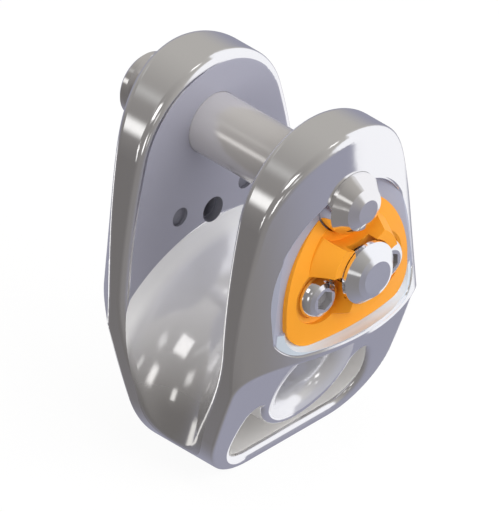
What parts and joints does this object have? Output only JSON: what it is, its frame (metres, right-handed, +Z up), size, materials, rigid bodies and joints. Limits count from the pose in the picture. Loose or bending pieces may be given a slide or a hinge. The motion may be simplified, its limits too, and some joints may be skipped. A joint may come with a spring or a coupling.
{
  "type": "friction block",
  "caption": "Machined friction block for rope: two crowned cheeks, a fixed half-round saddle, a bell-mouthed eye, and a quick-release cross pin freed by a push button.",
  "frame": {"origin": "centre of the block's flat bottom, midway between the cheeks", "axes": "+Z up through the saddle to the tops of the cheeks, +X across the cheeks, +Y along the cross pin towards its rear knob"},
  "size_m": [0.053, 0.0686, 0.0847],
  "materials": {
    "body_metal": "satin silver anodised",
    "pin_metal": "polished stainless steel",
    "button_metal": "satin stainless steel",
    "spring_steel": "spring steel wire",
    "insert_plastic": "satin orange plastic",
    "screw_metal": "stainless steel"
  },
  "bodies": {
    "block": {"body": "body_metal", "cover_insert": "insert_plastic", "left_cover_screw": "screw_metal", "right_cover_screw": "screw_metal", "button_spring": "spring_steel", "latch_spring": "spring_steel"},
    "pin": {"attachment_pin": "pin_metal"},
    "button": {"release_button": "button_metal", "button_ring": "spring_steel"}
  },
  "joints": [
    {"name": "pin_slide", "type": "slide", "parent": "block", "child": "pin", "axis": [0, 1, 0], "range_m": [0, 0.11], "deforming": ["latch_spring"]},
    {"name": "button_press", "type": "slide", "parent": "block", "child": "button", "axis": [0, 1, 0], "range_m": [0, 0.0025], "stiffness_N_per_m": 2000, "springref_m": -0.002, "deforming": ["button_spring"]}
  ]
}
